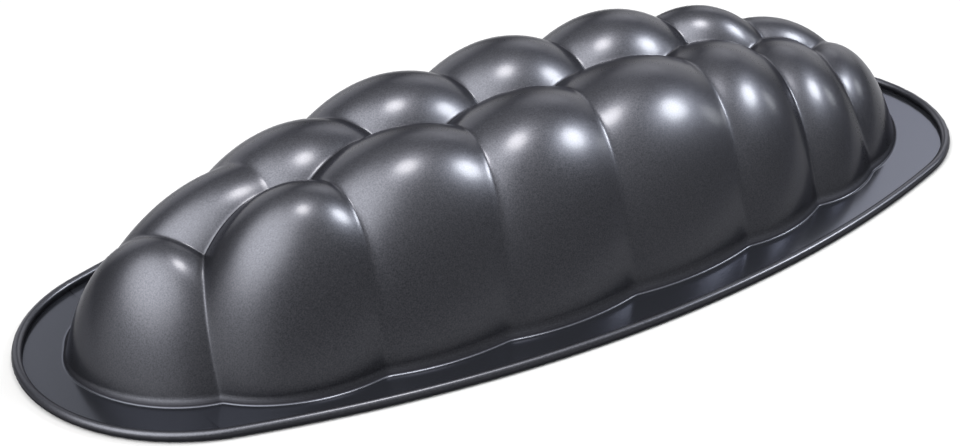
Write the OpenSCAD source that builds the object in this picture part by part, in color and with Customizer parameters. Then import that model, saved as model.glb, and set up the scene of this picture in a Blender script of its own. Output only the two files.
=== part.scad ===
// Loaf mould for a plaited brioche, standing upside down on its rim.
// Millimetres. Z is up, X runs along the length, and the origin is the middle
// of the plane that the rim rests on.

/* [Rim] */
// Length over the curled rim
rim_l = 384; // [380:1:396]
// Width over the curled rim
rim_w = 168.5; // [166:0.5:176]
// Radius of the rim's two rounded ends
rim_end_r = 62.5; // [60:0.5:66]
// Thickness of the pressed sheet
sheet_t = 0.6; // [0.5:0.1:0.8]
// Diameter of the wire inside the curled edge
wire_d = 2; // [1.6:0.2:2.4]
// Clearance all round the wire
wire_gap = 0.1; // [0.05:0.05:0.2]
// Gap between the butted ends of the wire
butt_gap = 1; // [0.5:0.5:3]
// Angle through which the edge is curled round the wire
curl_angle = 305; // [270:5:305]

/* [Lobes] */
// Front lobes, left to right: x, y, half length, half width, turn and height
front_lobes = [
    [-141, -3.5, 34, 33, -37, 41],
    [-103, -21.5, 43, 35, 12, 56],
    [-59, -19, 57, 44, 7, 61.5],
    [-11, -19.5, 63, 45, 19, 60.5],
    [34, -17.5, 66, 47, 14, 59],
    [77, -13.5, 53, 41, 48, 53.5],
    [113, -4, 51, 39, 67, 42.5],
    [132, -7.5, 51, 33, 37, 35],
]; // [-150:0.5:150]
// Back lobes, left to right: x, y, half length, half width, turn and height
back_lobes = [
    [-138, 8, 34, 33, 0, 36],
    [-104, 9, 60, 34, 2, 51.5],
    [-79, 12.5, 56, 43, 4, 57.5],
    [-38, 19, 53, 44, 4, 62],
    [11, 22.5, 51, 44, 10, 61.5],
    [59, 23, 52, 43, 14, 59.5],
    [98, 20.5, 41, 35, -20, 53.5],
    [122, 15, 46, 30, -11, 44],
]; // [-150:0.5:150]
// How softly neighbouring lobes run into each other
groove_blend = 0.8; // [0.4:0.1:1.5]
// Radius of the bend between the wall and the flange
foot_r = 3; // [2:0.5:4]

/* [Surface] */
// Where the valley between the two rows ends, left
valley_left = -142; // [-144:1:-138]
// Where the valley between the two rows ends, right
valley_right = 150; // [148:1:154]
// Columns of facets from one groove to the next mark
columns = 4; // [2:1:4]
// Columns of facets round each end
end_columns = 12; // [8:2:12]
// Rows of facets from the foot to the valley
rows = 11; // [8:1:11]
// Facets round the curl
curl_steps = 7; // [6:1:7]
// Facets round the wire
wire_sides = 8; // [6:2:8]

/* [Hidden] */

lobes = concat(front_lobes, back_lobes);
half_l = rim_l / 2;
half_w = rim_w / 2;
bead_r = wire_d / 2 + wire_gap + sheet_t;
end_x = half_l - rim_end_r;
side_r = (end_x * end_x + half_w * half_w - rim_end_r * rim_end_r) / (2 * (half_w - rim_end_r));
side_y = side_r - half_w;
side_angle = atan2(end_x, side_y);
foot_z = sheet_t + foot_r;
FRONT = -90;
BACK = 90;
UP = 90;
MARKS = 2 * len(front_lobes) - 1;    // steps between the marks along the valley
BISECTIONS = 12;

// Distance from point p on the floor, towards az and rising at el, to the far
// side of a lobe whose half axes are all thin shorter
function exit(l, p, az, el, thin = 0) =
    let (
        dx = p[0] - l[0],
        dy = p[1] - l[1],
        a = l[2] - thin,
        b = l[3] - thin,
        px = (dx * cos(l[4]) + dy * sin(l[4])) / a,
        py = (dy * cos(l[4]) - dx * sin(l[4])) / b,
        vx = cos(az - l[4]) * cos(el) / a,
        vy = sin(az - l[4]) * cos(el) / b,
        vz = sin(el) / (l[5] - thin),
        vv = vx * vx + vy * vy + vz * vz,
        pv = px * vx + py * vy,
        disc = pv * pv - vv * (px * px + py * py - 1)
    )
    disc < 0 ? 0 : max(0, (sqrt(disc) - pv) / vv);

// The same distance for all the lobes together, blended where they meet
function reach(p, az, el, thin = 0) =
    let (
        r = [for (l = lobes) exit(l, p, az, el, thin)],
        m = max(r),
        share = [for (v = r) exp((v - m) / groove_blend)],
        ones = [for (v = r) 1]
    )
    m + groove_blend * ln(share * ones);

function row_height(row, p) = max([for (l = row) exit(l, p, 0, UP)]);

// Place across the mould where the front and back rows are equally high at x
function valley_y(x, lo = -40, hi = 40, n = BISECTIONS) =
    let (y = (lo + hi) / 2)
    n == 0 ? y
    : row_height(front_lobes, [x, y]) > row_height(back_lobes, [x, y])
        ? valley_y(x, y, hi, n - 1)
        : valley_y(x, lo, y, n - 1);

// Place along the valley where lobe l hands over to lobe m of the same row
function meet_x(l, m, lo, hi, n = BISECTIONS) =
    let (x = (lo + hi) / 2, p = [x, valley_y(x)])
    n == 0 ? x
    : exit(l, p, 0, UP) > exit(m, p, 0, UP)
        ? meet_x(l, m, x, hi, n - 1)
        : meet_x(l, m, lo, x, n - 1);

// Marks along the valley: its ends, and where the grooves of either row reach it
marks = [for (k = [0 : MARKS])
    k == 0 ? valley_left
    : k == MARKS ? valley_right
    : let (row = k % 2 == 1 ? back_lobes : front_lobes, i = ceil(k / 2) - 1)
        meet_x(row[i], row[i + 1], row[i][0], row[i + 1][0])];

function mix(a, b, f) = a + (b - a) * f;

valley_x = [for (k = [0 : MARKS - 1]) for (j = [0 : columns - 1])
    mix(marks[k], marks[k + 1], j / columns), marks[MARKS]];
valley = [for (x = valley_x) [x, valley_y(x)]];
function on_valley(x) = [x, lookup(x, valley)];

// Place along the valley from which the groove between l and m is seen at el
function groove_x(l, m, az, el, lo, hi, n = BISECTIONS) =
    let (x = (lo + hi) / 2, p = on_valley(x))
    n == 0 ? x
    : exit(l, p, az, el) > exit(m, p, az, el)
        ? groove_x(l, m, az, el, x, hi, n - 1)
        : groove_x(l, m, az, el, lo, x, n - 1);

// Heading from an end of the valley p to the groove between l and m at el
function groove_az(l, m, p, el, lo, hi, n = BISECTIONS) =
    let (az = (lo + hi) / 2)
    n == 0 ? az
    : exit(l, p, az, el) > exit(m, p, az, el)
        ? groove_az(l, m, p, el, az, hi, n - 1)
        : groove_az(l, m, p, el, lo, az, n - 1);

// Columns start on a groove or on the middle of a lobe. At the foot the middle
// is halfway between two grooves, and at the top it is the opposite groove.
function mark_row(az, el) =
    let (
        row = az == FRONT ? front_lobes : back_lobes,
        first = az == FRONT ? 2 : 1,
        g = [for (k = [0 : MARKS])
            k == 0 ? valley_left
            : k == MARKS ? valley_right
            : (k - first) % 2 == 0
                ? let (i = (k - first) / 2) groove_x(row[i], row[i + 1], az, el, row[i][0], row[i + 1][0])
                : 0]
    )
    [for (k = [0 : MARKS])
        k == 0 || k == MARKS || (k - first) % 2 == 0 ? g[k]
        : let (top = (marks[k] - marks[k - 1]) / (marks[k + 1] - marks[k - 1]))
            mix(g[k - 1], g[k + 1], mix(0.5, top, pow(el / UP, 2)))];

function side_columns(az, el) =
    let (m = mark_row(az, el), x = concat([for (k = [0 : MARKS - 1]) for (j = [0 : columns - 1])
        mix(m[k], m[k + 1], j / columns)], [m[MARKS]]))
    [for (v = x) [on_valley(v), az]];

function end_columns(l, m, p, el, from) =
    let (mid = groove_az(l, m, p, el, from, from + 180), half = end_columns / 2)
    [for (j = [1 : end_columns - 1])
        [p, j < half ? mix(from, mid, j / half) : mix(mid, from + 180, j / half - 1)]];

function reversed(list) = [for (i = [len(list) - 1 : -1 : 0]) list[i]];

// All the rays at one elevation, as start point and heading, once round the mould
function ring(el) = concat(
    side_columns(FRONT, el),
    end_columns(front_lobes[len(front_lobes) - 1], back_lobes[len(back_lobes) - 1],
        valley[len(valley) - 1], el, FRONT),
    reversed(side_columns(BACK, el)),
    end_columns(back_lobes[0], front_lobes[0], valley[0], el, BACK));

function along(ray, r, z) = [ray[0][0] + r * cos(ray[1]), ray[0][1] + r * sin(ray[1]), z];

function circle_exit(p, d, c, r) =
    let (q = p - c, b = q * d, disc = b * b - q * q + r * r)
    disc < 0 ? 0 : sqrt(disc) - b;

// Distance along a level ray to the rim's oval, drawn in by inset
function rim_reach(ray, inset) =
    let (
        p = ray[0],
        d = [cos(ray[1]), sin(ray[1])],
        to_side = circle_exit(p, d, [0, d[1] < 0 ? side_y : -side_y], side_r - inset),
        to_end = circle_exit(p, d, [p[0] < 0 ? -end_x : end_x, 0], rim_end_r - inset)
    )
    abs(p[0] + to_side * d[0]) < (side_r - inset) * sin(side_angle) ? to_side : to_end;

// Rays to the rim: straight across along the sides, and evenly turned round the
// centres of the ends
foot_ring = ring(0);
function end_rays(p, from, to) =
    [for (j = [1 : end_columns - 1]) [p, mix(from, to, j / end_columns)]];
function end_heading(x) = let (p = [x, 0], c = x < 0 ? -end_x : end_x)
    atan2(rim_reach([p, BACK], 0), x - c);
right_heading = end_heading(valley_right);
left_heading = end_heading(valley_left);
side = len(valley);
around = len(foot_ring);
rim_ring = concat(
    [for (i = [0 : side - 1]) foot_ring[i]],
    end_rays([end_x, 0], -right_heading, right_heading),
    [for (i = [side + end_columns - 1 : 2 * side + end_columns - 2]) foot_ring[i]],
    end_rays([-end_x, 0], left_heading, 360 - left_heading));

// A loop round the rim at an angle and radius about the wire's middle
function bead_loop(r, a) = [for (ray = rim_ring)
    along(ray, rim_reach(ray, bead_r - r * cos(a)), bead_r + r * sin(a))];

// Loops of one skin of the wall from the top down, depth below the outer skin
function wall(depth) = concat(
    [for (j = [rows - 1 : -1 : 1]) let (el = UP * j / rows)
        [for (ray = ring(el)) let (r = reach(ray[0], ray[1], el, depth))
            along(ray, r * cos(el), r * sin(el))]],
    [[for (ray = foot_ring) along(ray, reach(ray[0], ray[1], 0, depth), foot_z)]]);

// Loops of the bend from the wall to the flange
function foot_bend(depth) =
    let (foot = [for (ray = foot_ring) reach(ray[0], ray[1], 0)])
    [for (a = [30, 60, 90]) [for (i = [0 : around - 1])
        along(foot_ring[i], foot[i] + foot_r - (foot_r + depth) * cos(a),
            foot_z - (foot_r + depth) * sin(a))]];

function valley_skin(depth) = [for (p = valley) [p[0], p[1], reach(p, 0, UP, depth)]];
function flat_list(list) = [for (part = list) each part];

// Lobed body, flange and curled edge as one pressed sheet. Its section runs from
// the valley down the outside, round the curl and back up the inside.
module pressed_sheet() {
    curl = [for (j = [0 : curl_steps]) -90 + curl_angle * j / curl_steps];
    loops = concat(
        wall(0),
        foot_bend(0),
        [for (a = curl) bead_loop(bead_r - sheet_t, a)],
        [for (a = reversed(curl)) bead_loop(bead_r, a)],
        reversed(foot_bend(sheet_t)),
        reversed(wall(sheet_t)));
    valley_point = [for (i = [0 : around - 1])
        i < side ? i
        : i < side + end_columns - 1 ? side - 1
        : i < 2 * side + end_columns - 1 ? 2 * side + end_columns - 2 - i
        : 0];
    count = len(loops);
    function corner(level, i) =
        level == 0 ? valley_point[i]
        : level <= count ? side + (level - 1) * around + i
        : side + count * around + valley_point[i];
    polyhedron(
        points = concat(valley_skin(0), flat_list(loops), valley_skin(sheet_t)),
        faces = [for (level = [0 : count]) for (i = [0 : around - 1])
            let (
                n = (i + 1) % around,
                a = corner(level, i),
                b = corner(level, n),
                c = corner(level + 1, n),
                d = corner(level + 1, i)
            )
            each concat(a == b ? [] : [[a, b, c]], c == d ? [] : [[a, c, d]])],
        convexity = 8);
}

module pressed_shell() {
    color([0.26, 0.26, 0.28]) pressed_sheet();
}

// A ring of wire in the curl, with its ends butted at the back
module rim_wire() {
    rings = [for (k = [0 : wire_sides - 1]) bead_loop(wire_d / 2, 360 * k / wire_sides)];
    color([0.72, 0.73, 0.75]) difference() {
        polyhedron(
            points = flat_list(rings),
            faces = [for (k = [0 : wire_sides - 1]) for (i = [0 : around - 1])
                let (
                    m = (k + 1) % wire_sides,
                    n = (i + 1) % around,
                    a = k * around + i,
                    b = k * around + n,
                    c = m * around + n,
                    d = m * around + i
                )
                each [[a, c, b], [a, d, c]]],
            convexity = 4);
        translate([0, half_w - bead_r, bead_r])
            cube([butt_gap, 2 * wire_d, 2 * wire_d], center = true);
    }
}

pressed_shell();
rim_wire();
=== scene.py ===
import math

import bpy
import numpy as np
from mathutils import Matrix, Vector


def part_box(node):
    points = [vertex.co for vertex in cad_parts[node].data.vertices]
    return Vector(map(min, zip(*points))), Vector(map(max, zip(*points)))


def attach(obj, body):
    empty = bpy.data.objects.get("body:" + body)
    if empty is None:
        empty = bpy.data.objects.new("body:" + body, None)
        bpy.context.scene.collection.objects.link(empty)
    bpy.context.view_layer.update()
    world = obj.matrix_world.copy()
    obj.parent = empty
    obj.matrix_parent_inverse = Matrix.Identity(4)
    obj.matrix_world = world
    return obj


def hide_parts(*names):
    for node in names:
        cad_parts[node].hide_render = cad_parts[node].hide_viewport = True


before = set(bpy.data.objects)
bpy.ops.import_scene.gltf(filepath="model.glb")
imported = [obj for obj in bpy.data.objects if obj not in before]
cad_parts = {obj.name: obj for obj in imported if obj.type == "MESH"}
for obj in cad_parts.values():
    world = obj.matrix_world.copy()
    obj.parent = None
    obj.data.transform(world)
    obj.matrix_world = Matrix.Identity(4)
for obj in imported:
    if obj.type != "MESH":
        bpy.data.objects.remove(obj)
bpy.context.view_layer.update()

MM = 0.001

# Sizes in millimetres: the rim, the sheet and the wire, as in the part's source
RIM_L, RIM_W, RIM_END_R = 384.0, 168.5, 62.5
SHEET_T, WIRE_D, WIRE_GAP, BUTT_GAP = 0.6, 2.0, 0.1, 1.0
CURL_ANGLE = 305.0

# Lobes, left to right: x, y, half length and half width on the floor, turn in degrees, height,
# and how far each millimetre of height leans towards the back. They have more draft than the
# lobes in the part's source.
FRONT_LOBES = [
    (-143, -5, 37, 30, -56, 41.5, 0.1),
    (-103, -21, 47, 36.5, 1, 56.5, 0),
    (-59, -18, 67, 45, 1, 61.5, 0),
    (-11, -18, 70, 47.5, 12, 61, 0),
    (35, -15.5, 76, 49, 11, 59, 0),
    (79, -11.5, 58, 44, 40, 53, 0),
    (116, -7.5, 50, 37.5, 55, 43, 0),
    (141, -7.5, 45, 28, 45, 35, 0),
]
BACK_LOBES = [
    (-138, 8, 34, 33, 0, 36, 0),
    (-107, 8, 65, 35, 1, 53, 0),
    (-82, 12, 61, 43, 3, 59, 0),
    (-38, 22, 62, 42, -2, 61.5, 0),
    (11, 24.5, 59, 44, -2, 61.5, 0),
    (59, 25.5, 59, 42, 1, 59.5, 0),
    (100, 22.5, 46, 32.5, -29, 53, 0),
    (125, 16, 49, 29, -19, 44, 0),
]
LOBES = FRONT_LOBES + BACK_LOBES
LOBE_SINK = 35.0        # depth of a lobe's middle below the floor, which gives its wall draft
GROOVE_BLEND = 0.4
FOOT_R = 1.2            # bend between the wall and the flange
VALLEY_LEFT, VALLEY_RIGHT = -152.0, 150.0
END_GAP = 2.0           # least distance of a groove from the ends of the valley
SLACK = 9.0             # how far beyond a lobe's middle a groove is looked for

# Fineness of the visible mesh
COLUMNS = 16            # from one mark on the valley to the next
END_COLUMNS = 48        # round each end
DENSE_ROWS = 180        # steps of elevation at which the lobes are first measured
ROWS = 52               # rows of faces on the wall
BEND_STEPS = 6
CURL_STEPS = 24
WIRE_SIDES = 16
BISECTIONS = 20
EVEN_SHARE = 0.25       # share of the rows spaced evenly, where the rest crowd to the top
FOOT_ROWS = 20          # dense rows among which the foot is looked for
FLANGE_SHARES = (0.03, 0.35, 0.7, 0.97)
VALLEY_REACH = 40.0     # the valley is looked for this far to either side
SHARP_ANGLE = 60.0

HALF_L, HALF_W = RIM_L / 2, RIM_W / 2
BEAD_R = WIRE_D / 2 + WIRE_GAP + SHEET_T
END_X = HALF_L - RIM_END_R
SIDE_R = (END_X ** 2 + HALF_W ** 2 - RIM_END_R ** 2) / (2 * (HALF_W - RIM_END_R))
SIDE_Y = SIDE_R - HALF_W
SIDE_ANGLE = math.atan2(END_X, SIDE_Y)
FOOT_Z = SHEET_T + FOOT_R
FRONT, BACK, UP = -math.pi / 2, math.pi / 2, math.pi / 2
MARKS = 2 * len(FRONT_LOBES) - 1

# Camera, solved on the rim's outline in the photograph
CAM_AZ, CAM_EL, CAM_ROLL = -34.5564, 27.9881, -1.1700
CAM_DISTANCE = 770.407
CAM_TARGET = (-9.9524, 11.035, 0.0)
CAM_FOCAL_PX = 2122.54
IMAGE_W = 960
SENSOR = 36.0

# Coating and wire: colours, and how many grains, clouds and worn patches to the metre
COAT_DARK, COAT_LIGHT = (0.024, 0.025, 0.030, 1), (0.048, 0.049, 0.057, 1)
# a lighter tone painted onto the flange: painted sheen where the flat flange catches the light
PAINTED_FLANGE_SHEEN = (0.054, 0.058, 0.070, 1)
# painted shade: a near-black tone painted into the foot bend and into the grooves between the
# lobes
PAINTED_BEND_SHADE = (0.008, 0.008, 0.010, 1)
COAT_CLOUD, COAT_WORN = (0.036, 0.037, 0.043, 1), (0.22, 0.22, 0.23, 1)
WIRE_BRIGHT, WIRE_DULL = (0.66, 0.67, 0.69, 1), (0.42, 0.42, 0.43, 1)
GRAIN_SCALE, CLOUD_SCALE, WEAR_SCALE = 2100.0, 14.0, 160.0
# how much cloud and wear come in, and how strongly the painted sheen on the flange and the painted
# shade in the bend and the hollows are laid on
CLOUD_SHARE, FLANGE_SHEEN_SHARE, BEND_SHADE_SHARE, HOLLOW_SHARE, WEAR_SHARE = 0.35, 0.75, 0.7, 0.9, 0.5
ROUGH_FLANGE, ROUGH_WALL, ROUGH_BEND_MORE = 0.15, 0.35, 0.2
ROUGH_BY_CLOUD, ROUGH_BY_GRAIN = 0.02, 0.03
METALLIC, BASE_IOR, EDGE_TINT = 0.9, 1.4, (0.30, 0.30, 0.34, 1)
CLEAR_WEIGHT, CLEAR_WEIGHT_BEND, CLEAR_ROUGH, CLEAR_IOR = 0.35, 0.05, 0.19, 1.35
COAT_BUMP, WIRE_BUMP = (0.07, 0.03), (0.2, 0.05)    # strength, and depth in millimetres
WIRE_ROUGH = (0.24, 0.42)

# Heights in millimetres over which the flange's gloss and painted sheen, the bend with its painted
# shade, and the wear fade, and how bent inwards or outwards the skin is where the hollows' painted
# shade and the wear come in
GLOSS_FADE, FLANGE_SHEEN_FADE, BEND_FADE, WEAR_FADE = (0.65, 0.95), (0.65, 1.2), (1.6, 2.6), (3.5, 5.0)
HOLLOW_POINTINESS, WORN_POINTINESS = (0.43, 0.49), (0.52, 0.60)

# Studio: the floor, an even sky with soft patches (azimuth from +Y towards +X, elevation,
# inner and outer radius, strength), and soft boxes (azimuth, elevation, width, height,
# brightness, colour), with angles in degrees
FLOOR_HALF, FLOOR_COLOUR = 3000.0, (0.26, 0.26, 0.26, 1)
SKY_BASE = 0.3
SKY_PATCHES = [
    (-100, 60, 0, 44, 9.5),
    (-100, 10, 0, 55, 1.6),
    (0, 90, 0, 70, 0.8),
    (56, 16, 4, 22, 2.1),
    (8, 16, 4, 25, 2.3),
    (48, 32, 2, 15, 1.9),
    (170, 15, 10, 60, 0.2),
]
LAMP_DISTANCE = 2.0
LAMPS = [
    ("overhead_box", 106, 77, 14, 13, 50.0, (1.0, 0.98, 0.96)),
    ("right_box", 104, 40, 14, 14, 56.0, (0.94, 0.97, 1.0)),
    ("edge_box", 96, 20, 8, 10, 11.0, (0.95, 0.98, 1.0)),
]


def mix(a, b, f):
    return a + (b - a) * f


def exit_distance(lobe, x, y, az, el, thin=0.0):
    """Distance from a point on the floor, towards az and rising at el, to a lobe's far side."""
    centre_x, centre_y, half_l, half_w, turn, top, lean = lobe
    turn = math.radians(turn)
    h = top - thin + LOBE_SINK
    pz = LOBE_SINK / h
    floor_share = math.sqrt(1 - pz * pz)
    a, b = (half_l - thin) / floor_share, (half_w - thin) / floor_share
    dx, dy = x - centre_x, y - centre_y
    east, rise = np.cos(az) * np.cos(el), np.sin(el)
    north = np.sin(az) * np.cos(el) - lean * rise
    px = (dx * math.cos(turn) + dy * math.sin(turn)) / a
    py = (dy * math.cos(turn) - dx * math.sin(turn)) / b
    vx = (east * math.cos(turn) + north * math.sin(turn)) / a
    vy = (north * math.cos(turn) - east * math.sin(turn)) / b
    vz = rise / h
    vv = vx * vx + vy * vy + vz * vz
    pv = px * vx + py * vy + pz * vz
    disc = pv * pv - vv * (px * px + py * py + pz * pz - 1)
    return np.where(disc < 0, 0, np.maximum(0, (np.sqrt(np.maximum(disc, 0)) - pv) / vv))


def reach(x, y, az, el, thin=0.0):
    """The same distance for all the lobes together, blended where they meet."""
    r = np.stack([exit_distance(lobe, x, y, az, el, thin) for lobe in LOBES])
    m = r.max(0)
    return m + GROOVE_BLEND * np.log(np.exp((r - m) / GROOVE_BLEND).sum(0))


def bisect(first_wins, lo, hi):
    """The place between lo and hi at which first_wins turns false."""
    lo, hi = np.array(lo, float), np.array(hi, float)
    for _ in range(BISECTIONS):
        mid = (lo + hi) / 2
        first = first_wins(mid)
        lo, hi = np.where(first, mid, lo), np.where(first, hi, mid)
    return (lo + hi) / 2


def row_height(row, x, y):
    return np.max([exit_distance(lobe, x, y, 0.0, UP) for lobe in row], axis=0)


def valley_y(x):
    x = np.asarray(x, float)
    return bisect(lambda y: row_height(FRONT_LOBES, x, y) > row_height(BACK_LOBES, x, y),
                  np.full(x.shape, -VALLEY_REACH), np.full(x.shape, VALLEY_REACH))


def meet_x(a, b):
    """Place along the valley where lobe a hands over to lobe b of the same row."""
    return float(bisect(lambda x: exit_distance(a, x, valley_y(x), 0.0, UP)
                        > exit_distance(b, x, valley_y(x), 0.0, UP), a[0] - SLACK, b[0]))


def valley_marks():
    marks = [VALLEY_LEFT]
    for k in range(1, MARKS):
        row, i = (BACK_LOBES if k % 2 else FRONT_LOBES), (k - 1) // 2
        marks.append(meet_x(row[i], row[i + 1]))
    return marks + [VALLEY_RIGHT]


# Columns crowd towards the marks, where a groove may run
SPREAD = (1 - np.cos(np.pi * np.arange(COLUMNS) / COLUMNS)) / 2
MARK_X = valley_marks()
VALLEY_X = np.append(np.concatenate([mix(a, b, SPREAD) for a, b in zip(MARK_X, MARK_X[1:])]),
                     VALLEY_RIGHT)
VALLEY_Y = valley_y(VALLEY_X)


def side_columns(az, el):
    """Start points along the valley of the rays of one side, a row for each elevation in el."""
    row, first = (FRONT_LOBES, 2) if az == FRONT else (BACK_LOBES, 1)
    grooves = {}
    for k in range(first, MARKS, 2):
        a, b = row[(k - first) // 2], row[(k - first) // 2 + 1]
        grooves[k] = bisect(
            lambda x: exit_distance(a, x, np.interp(x, VALLEY_X, VALLEY_Y), az, el)
            > exit_distance(b, x, np.interp(x, VALLEY_X, VALLEY_Y), az, el),
            np.full(el.shape, a[0] - SLACK), np.full(el.shape, float(b[0])))
        grooves[k] = np.clip(grooves[k], VALLEY_LEFT + END_GAP, VALLEY_RIGHT - END_GAP)
    grooves[0] = np.full(el.shape, VALLEY_LEFT)
    grooves[MARKS] = np.full(el.shape, VALLEY_RIGHT)
    for k in range(1, MARKS):
        if k not in grooves:
            top = (MARK_X[k] - MARK_X[k - 1]) / (MARK_X[k + 1] - MARK_X[k - 1])
            f = mix(0.5, top, (el / UP) ** 2)
            grooves[k] = mix(grooves[k - 1], grooves[k + 1], f)
    parts = [mix(grooves[k][:, None], grooves[k + 1][:, None], SPREAD[None, :])
             for k in range(MARKS)]
    return np.concatenate(parts + [grooves[MARKS][:, None]], axis=1)


def end_headings(a, b, x, y, el, start):
    """Headings of the rays round one end, turned so that one of them follows the groove."""
    mid = bisect(lambda az: exit_distance(a, x, y, az, el) > exit_distance(b, x, y, az, el),
                 np.full(el.shape, start), np.full(el.shape, start + math.pi))
    half = END_COLUMNS // 2
    spread = (1 - np.cos(np.pi * np.arange(half) / half)) / 2
    ends = [mix(start, mid[:, None], spread[None, 1:]),
            mix(mid[:, None], start + math.pi, spread[None, :])]
    return np.concatenate(ends, axis=1)


def rays(el):
    """Start points and headings of all the rays once round the mould, a row for each elevation."""
    front, back = side_columns(FRONT, el), side_columns(BACK, el)[:, ::-1]
    right = end_headings(FRONT_LOBES[-1], BACK_LOBES[-1], VALLEY_X[-1], VALLEY_Y[-1], el, FRONT)
    left = end_headings(BACK_LOBES[0], FRONT_LOBES[0], VALLEY_X[0], VALLEY_Y[0], el, BACK)
    x = np.concatenate([front, np.full(right.shape, VALLEY_RIGHT), back,
                        np.full(left.shape, VALLEY_LEFT)], axis=1)
    az = np.concatenate([np.full(front.shape, FRONT), right, np.full(back.shape, BACK), left],
                        axis=1)
    return x, np.interp(x, VALLEY_X, VALLEY_Y), az


def wall_skin(x, y, az, el, depth):
    """Points of one skin of the wall, a row for each height from the foot to the valley."""
    r = reach(x, y, az, el[:, None], depth)
    level = r * np.cos(el)[:, None]
    points = np.stack([x + level * np.cos(az), y + level * np.sin(az),
                       r * np.sin(el)[:, None]], axis=2)
    share = np.linspace(0, 1, ROWS + 1)
    share = EVEN_SHARE * share + (1 - EVEN_SHARE) * np.sin(share * np.pi / 2)
    steps = np.arange(len(el))
    out = np.empty((ROWS + 1, points.shape[1], 3))
    for i in range(points.shape[1]):
        start = np.interp(FOOT_Z, points[:FOOT_ROWS, i, 2], steps[:FOOT_ROWS])
        at = mix(start, steps[-1], share)
        for c in range(3):
            out[:, i, c] = np.interp(at, steps, points[:, i, c])
    return out


def circle_exit(px, py, dx, dy, cx, cy, r):
    qx, qy = px - cx, py - cy
    b = qx * dx + qy * dy
    disc = b * b - qx * qx - qy * qy + r * r
    return np.where(disc < 0, 0, np.sqrt(np.maximum(disc, 0)) - b)


def rim_reach(x, y, az, inset):
    """Distance along level rays to the rim's oval, drawn in by inset."""
    dx, dy = np.cos(az), np.sin(az)
    to_side = circle_exit(x, y, dx, dy, 0.0, np.where(dy < 0, SIDE_Y, -SIDE_Y), SIDE_R - inset)
    to_end = circle_exit(x, y, dx, dy, np.where(x < 0, -END_X, END_X), 0.0, RIM_END_R - inset)
    on_side = np.abs(x + to_side * dx) < (SIDE_R - inset) * math.sin(SIDE_ANGLE)
    return np.where(on_side, to_side, to_end)


def rim_rays(x, y, az):
    """Rays to the rim: straight across along the sides, and turned round the end centres."""
    side = len(VALLEY_X)
    x, y, az = x.copy(), y.copy(), az.copy()
    for first, px, centre in ((side, VALLEY_RIGHT, END_X),
                              (2 * side + END_COLUMNS - 1, VALLEY_LEFT, -END_X)):
        edge = float(rim_reach(np.array(px), 0.0, np.array(BACK), 0.0))
        heading = math.atan2(edge, px - centre)
        ends = slice(first, first + END_COLUMNS - 1)
        lo, hi = (-heading, heading) if centre > 0 else (heading, 2 * math.pi - heading)
        turned = (az[ends] - (FRONT if centre > 0 else BACK)) / math.pi
        x[ends], y[ends], az[ends] = centre, 0.0, mix(lo, hi, turned)
    return x, y, az


def along(x, y, az, r, z):
    return np.stack([x + r * np.cos(az), y + r * np.sin(az), np.zeros_like(x) + z], axis=1)


def bead_loop(rim, r, angle):
    """A loop round the rim at an angle and radius about the wire's middle."""
    x, y, az = rim
    return along(x, y, az, rim_reach(x, y, az, BEAD_R - r * math.cos(angle)),
                 BEAD_R + r * math.sin(angle))


def new_object(name, points, faces, material):
    mesh = bpy.data.meshes.new(name)
    mesh.from_pydata((points * MM).tolist(), [], faces)
    mesh.validate()
    mesh.shade_smooth()
    obj = bpy.data.objects.new(name, mesh)
    bpy.context.scene.collection.objects.link(obj)
    mesh.materials.append(material)
    return obj


def strips(first, second, close=True):
    """Quads between two loops of point numbers, without the ones that have no width."""
    n = len(first)
    faces = []
    for i in range(n if close else n - 1):
        j = (i + 1) % n
        face = [first[i], first[j], second[j], second[i]]
        face = [p for k, p in enumerate(face) if p != face[k - 1]]
        if len(face) > 2:
            faces.append(face)
    return faces


def shell_mesh():
    """The pressed sheet as one closed skin: lobes, flange and curl, outside and inside."""
    el = np.linspace(0, UP, DENSE_ROWS + 1)
    x, y, az = rays(el)
    foot = x[0], y[0], az[0]
    rim = rim_rays(*foot)
    foot_r = reach(*foot, 0.0)
    bend = [math.pi / 2 * k / BEND_STEPS for k in range(1, BEND_STEPS + 1)]
    curl = [math.radians(-90 + CURL_ANGLE * k / CURL_STEPS) for k in range(CURL_STEPS + 1)]

    def wall(depth):
        return list(wall_skin(x, y, az, el, depth)[::-1])

    def foot_bend(depth):
        return [along(*foot, foot_r + FOOT_R - (FOOT_R + depth) * math.cos(a),
                      FOOT_Z - (FOOT_R + depth) * math.sin(a)) for a in bend]

    def flange(start, end):
        return [mix(start, end, f) for f in FLANGE_SHARES]

    outer = wall(0.0) + foot_bend(0.0)
    curl_in = [bead_loop(rim, BEAD_R - SHEET_T, a) for a in curl]
    curl_out = [bead_loop(rim, BEAD_R, a) for a in curl[::-1]]
    inner = foot_bend(SHEET_T)[::-1] + wall(SHEET_T)[::-1]
    loops = (outer + flange(outer[-1], curl_in[0]) + curl_in + curl_out
             + flange(curl_out[-1], inner[0]) + inner)

    around, side = len(foot[0]), len(VALLEY_X)
    ring_x = np.arange(around)
    valley = np.where(ring_x < side, ring_x, 0)
    valley[side:side + END_COLUMNS - 1] = side - 1
    back = np.arange(side + END_COLUMNS - 1, 2 * side + END_COLUMNS - 1)
    valley[back] = 2 * side + END_COLUMNS - 2 - back
    top, under = loops[0][:side], loops[-1][:side]
    body = loops[1:-1]
    points = np.concatenate([top] + body + [under])
    number = [valley] + [side + k * around + ring_x for k in range(len(body))]
    number.append(side + len(body) * around + valley)
    faces = []
    for a, b in zip(number, number[1:]):
        faces += strips([int(v) for v in b], [int(v) for v in a])
    return points, faces


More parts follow.
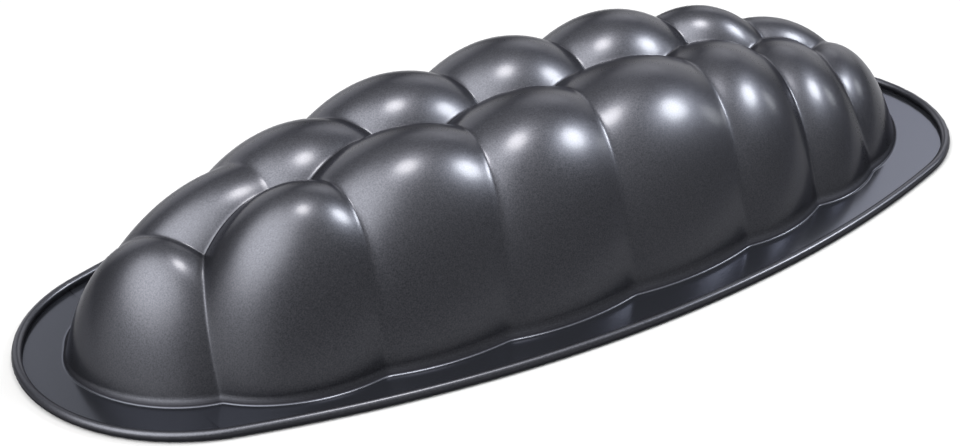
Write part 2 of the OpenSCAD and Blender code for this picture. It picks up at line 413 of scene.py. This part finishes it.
def wire_mesh():
    """A round wire swept once round the curl, its two ends butted at the middle of the back."""
    x, y, az = rays(np.zeros(1))
    x, y, az = rim_rays(x[0], y[0], az[0])
    back = np.arange(len(x)) >= len(VALLEY_X) + END_COLUMNS - 1
    start = int(np.argmax(back & (x < -BUTT_GAP)))
    end = int(np.argmax(back & (x <= BUTT_GAP)))
    cut = np.array([-BUTT_GAP / 2, BUTT_GAP / 2])
    cut_y = np.interp(cut, VALLEY_X, VALLEY_Y)
    path = [np.concatenate([[first], row[start:], row[:end], [last]])
            for first, row, last in ((cut[0], x, cut[1]), (cut_y[0], y, cut_y[1]),
                                     (BACK, az, BACK))]
    loops = [bead_loop(path, WIRE_D / 2, 2 * math.pi * k / WIRE_SIDES) for k in range(WIRE_SIDES)]
    rings = np.stack(loops, axis=1)
    faces = []
    for i in range(len(rings) - 1):
        ring = [i * WIRE_SIDES + k for k in range(WIRE_SIDES)]
        faces += strips(ring, [v + WIRE_SIDES for v in ring])
    last = (len(rings) - 1) * WIRE_SIDES
    faces.append(list(range(WIRE_SIDES))[::-1])
    faces.append([last + k for k in range(WIRE_SIDES)])
    return rings.reshape(-1, 3), faces


def inside_box(points, lo, hi):
    """The points drawn in by a hair, so that the finer mesh stays in the CAD node's box."""
    lo, hi = np.array(lo) / MM, np.array(hi) / MM
    scale = np.minimum(1.0, np.minimum(lo / np.minimum(points.min(0), -1e-9), hi / points.max(0)))
    scale[2] = min(1.0, hi[2] / points[:, 2].max())
    return points * scale


def add_node(tree, kind, inputs=(), **settings):
    """A shader node with its settings and fixed inputs; an input that is a socket gets linked."""
    node = tree.nodes.new(kind)
    for key, value in settings.items():
        setattr(node, key, value)
    for key, value in dict(inputs).items():
        if isinstance(value, bpy.types.NodeSocket):
            tree.links.new(value, node.inputs[key])
        else:
            node.inputs[key].default_value = value
    return node


def noise(tree, place, scale, detail=2.0):
    return add_node(tree, "ShaderNodeTexNoise",
                    {"Vector": place, "Scale": scale, "Detail": detail}).outputs["Fac"]


def remap(tree, value, lo, hi, to_lo, to_hi):
    """A value carried from one range to another, kept within its ends."""
    node = add_node(tree, "ShaderNodeMapRange",
                    {"Value": value, "From Min": lo, "From Max": hi,
                     "To Min": to_lo, "To Max": to_hi})
    return node.outputs["Result"]


def fade(tree, height, heights, lo, hi):
    """A value that goes from lo to hi between two heights in millimetres."""
    return remap(tree, height, heights[0] * MM, heights[1] * MM, lo, hi)


def math_node(tree, operation, a, b):
    return add_node(tree, "ShaderNodeMath", {0: a, 1: b}, operation=operation).outputs["Value"]


def mix_colour(tree, factor, a, b):
    return add_node(tree, "ShaderNodeMix", {"Factor": factor, "A": a, "B": b},
                    data_type="RGBA").outputs[2]


def nonstick_material():
    material = bpy.data.materials.new("nonstick_coating")
    material.use_nodes = True
    tree = material.node_tree
    shader = tree.nodes["Principled BSDF"]
    place = add_node(tree, "ShaderNodeTexCoord").outputs["Object"]
    height = add_node(tree, "ShaderNodeSeparateXYZ", {"Vector": place}).outputs["Z"]

    grain = noise(tree, place, GRAIN_SCALE, 3.0)
    cloud = noise(tree, place, CLOUD_SCALE, 3.0)
    pointed = add_node(tree, "ShaderNodeNewGeometry").outputs["Pointiness"]
    worn = math_node(tree, "MULTIPLY", remap(tree, pointed, *WORN_POINTINESS, 0.0, 1.0),
                     remap(tree, noise(tree, place, WEAR_SCALE), 0.42, 0.62, 0.0, WEAR_SHARE))
    worn = math_node(tree, "MULTIPLY", worn, fade(tree, height, WEAR_FADE, 1.0, 0.0))

    tone = mix_colour(tree, remap(tree, grain, 0.3, 0.7, 0.0, 1.0), COAT_DARK, COAT_LIGHT)
    tone = mix_colour(tree, remap(tree, cloud, 0.35, 0.65, 0.0, CLOUD_SHARE), tone, COAT_CLOUD)
    # painted sheen: the flange's base colour is painted lighter, where the flat flange catches the
    # light
    tone = mix_colour(tree, fade(tree, height, FLANGE_SHEEN_FADE, FLANGE_SHEEN_SHARE, 0.0), tone, PAINTED_FLANGE_SHEEN)
    # painted shade: the base colour is darkened in the foot bend and in the hollow grooves between
    # the lobes; the same mask also makes them rougher and less clear-coated
    bend = math_node(tree, "MULTIPLY", fade(tree, height, GLOSS_FADE, 0.0, 1.0),
                     fade(tree, height, BEND_FADE, 1.0, 0.0))
    hollow = remap(tree, pointed, *HOLLOW_POINTINESS, HOLLOW_SHARE, 0.0)
    bend = math_node(tree, "MAXIMUM", bend, hollow)
    tone = mix_colour(tree, math_node(tree, "MULTIPLY", bend, BEND_SHADE_SHARE), tone, PAINTED_BEND_SHADE)
    colour = mix_colour(tree, worn, tone, COAT_WORN)
    tree.links.new(colour, shader.inputs["Base Color"])

    rough = fade(tree, height, GLOSS_FADE, ROUGH_FLANGE, ROUGH_WALL)
    rough = math_node(tree, "ADD", rough, math_node(tree, "MULTIPLY", bend, ROUGH_BEND_MORE))
    rough = math_node(tree, "ADD", rough,
                      remap(tree, cloud, 0.3, 0.7, -ROUGH_BY_CLOUD, ROUGH_BY_CLOUD))
    rough = math_node(tree, "ADD", rough,
                      remap(tree, grain, 0.3, 0.7, -ROUGH_BY_GRAIN, ROUGH_BY_GRAIN))
    tree.links.new(rough, shader.inputs["Roughness"])

    strength, depth = COAT_BUMP
    bump = add_node(tree, "ShaderNodeBump",
                    {"Strength": strength, "Distance": depth * MM, "Height": grain})
    tree.links.new(bump.outputs["Normal"], shader.inputs["Normal"])
    shader.inputs["Metallic"].default_value = METALLIC
    shader.inputs["IOR"].default_value = BASE_IOR
    shader.inputs["Specular Tint"].default_value = EDGE_TINT
    tree.links.new(remap(tree, bend, 0.0, 1.0, CLEAR_WEIGHT, CLEAR_WEIGHT_BEND),
                   shader.inputs["Coat Weight"])
    shader.inputs["Coat Roughness"].default_value = CLEAR_ROUGH
    shader.inputs["Coat IOR"].default_value = CLEAR_IOR
    return material


def wire_material():
    material = bpy.data.materials.new("drawn_wire")
    material.use_nodes = True
    tree = material.node_tree
    shader = tree.nodes["Principled BSDF"]
    place = add_node(tree, "ShaderNodeTexCoord").outputs["Object"]
    drawn = noise(tree, place, GRAIN_SCALE, 2.0)
    dull = noise(tree, place, WEAR_SCALE, 3.0)
    colour = mix_colour(tree, remap(tree, dull, 0.35, 0.65, 0.0, 1.0), WIRE_BRIGHT, WIRE_DULL)
    tree.links.new(colour, shader.inputs["Base Color"])
    tree.links.new(remap(tree, dull, 0.3, 0.7, *WIRE_ROUGH), shader.inputs["Roughness"])
    strength, depth = WIRE_BUMP
    bump = add_node(tree, "ShaderNodeBump",
                    {"Strength": strength, "Distance": depth * MM, "Height": drawn})
    tree.links.new(bump.outputs["Normal"], shader.inputs["Normal"])
    shader.inputs["Metallic"].default_value = 1.0
    return material


def make_camera():
    az, el, roll = (math.radians(v) for v in (CAM_AZ, CAM_EL, CAM_ROLL))
    back = Vector((math.sin(az) * math.cos(el), -math.cos(az) * math.cos(el), math.sin(el)))
    right = Vector((0, 0, 1)).cross(back).normalized()
    up = back.cross(right)
    x = math.cos(roll) * right + math.sin(roll) * up
    y = -math.sin(roll) * right + math.cos(roll) * up
    data = bpy.data.cameras.new("camera")
    data.sensor_width = SENSOR
    data.lens = CAM_FOCAL_PX * SENSOR / IMAGE_W
    camera = bpy.data.objects.new("camera", data)
    bpy.context.scene.collection.objects.link(camera)
    place = Vector(CAM_TARGET) * MM + back * CAM_DISTANCE * MM
    camera.matrix_world = Matrix.Translation(place) @ Matrix((x, y, back)).transposed().to_4x4()
    bpy.context.scene.camera = camera


def make_floor():
    size = FLOOR_HALF
    points = np.array([(-size, -size, 0), (size, -size, 0), (size, size, 0), (-size, size, 0)],
                      float)
    material = bpy.data.materials.new("pale_floor")
    material.use_nodes = True
    shader = material.node_tree.nodes["Principled BSDF"]
    shader.inputs["Base Color"].default_value = FLOOR_COLOUR
    shader.inputs["Roughness"].default_value = 1.0
    shader.inputs["Specular IOR Level"].default_value = 0.0
    floor = new_object("floor", points, [(0, 1, 2, 3)], material)


def direction(azimuth, elevation):
    """Unit vector at an azimuth in degrees from +Y towards +X, and an elevation in degrees."""
    az, el = math.radians(azimuth), math.radians(elevation)
    return Vector((math.sin(az) * math.cos(el), math.cos(az) * math.cos(el), math.sin(el)))


def area_light(name, azimuth, elevation, width, height, power, colour):
    """An elliptical soft box that looks at the mould from LAMP_DISTANCE away, sized in degrees."""
    data = bpy.data.lights.new(name, "AREA")
    data.shape = "ELLIPSE"
    data.size = 2 * LAMP_DISTANCE * math.tan(math.radians(width / 2))
    data.size_y = 2 * LAMP_DISTANCE * math.tan(math.radians(height / 2))
    # watts for the wanted brightness of the box's face
    data.energy = power * math.pi * math.pi * data.size * data.size_y / 4
    data.color = colour
    lamp = bpy.data.objects.new(name, data)
    bpy.context.scene.collection.objects.link(lamp)
    towards = direction(azimuth, elevation)
    lamp.location = towards * LAMP_DISTANCE
    lamp.rotation_mode = "QUATERNION"
    lamp.rotation_quaternion = (-towards).to_track_quat("-Z", "Y")
    lamp.visible_camera = False


def make_light():
    world = bpy.data.worlds.new("studio")
    world.use_nodes = True
    tree = world.node_tree
    sky = add_node(tree, "ShaderNodeTexCoord").outputs["Generated"]
    sky = add_node(tree, "ShaderNodeVectorMath", {0: sky}, operation="NORMALIZE").outputs["Vector"]
    total = None
    for azimuth, elevation, inner, outer, strength in SKY_PATCHES:
        towards = direction(azimuth, elevation)
        dot = add_node(tree, "ShaderNodeVectorMath", {0: sky, 1: towards},
                       operation="DOT_PRODUCT").outputs["Value"]
        patch = add_node(tree, "ShaderNodeMapRange",
                         {"Value": dot, "From Min": math.cos(math.radians(outer)),
                          "From Max": math.cos(math.radians(inner)), "To Min": 0.0,
                          "To Max": strength}, interpolation_type="SMOOTHSTEP").outputs["Result"]
        total = patch if total is None else math_node(tree, "ADD", total, patch)
    total = math_node(tree, "ADD", total, SKY_BASE)
    background = tree.nodes["Background"]
    background.inputs["Color"].default_value = (1, 1, 1, 1)
    tree.links.new(total, background.inputs["Strength"])
    bpy.context.scene.world = world
    for lamp in LAMPS:
        area_light(*lamp)


shell_lo, shell_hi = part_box("pressed_shell")
wire_lo, wire_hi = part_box("rim_wire")
shell_points, shell_faces = shell_mesh()
shell = new_object("mould_shell", inside_box(shell_points, shell_lo, shell_hi), shell_faces,
                   nonstick_material())
shell.data.set_sharp_from_angle(angle=math.radians(SHARP_ANGLE))
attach(shell, "root")
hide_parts("pressed_shell")

wire_points, wire_faces = wire_mesh()
wire = new_object("curl_wire", inside_box(wire_points, wire_lo, wire_hi), wire_faces,
                  wire_material())
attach(wire, "root")
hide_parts("rim_wire")

make_floor()
make_light()
make_camera()
bpy.context.scene.view_settings.view_transform = "Standard"
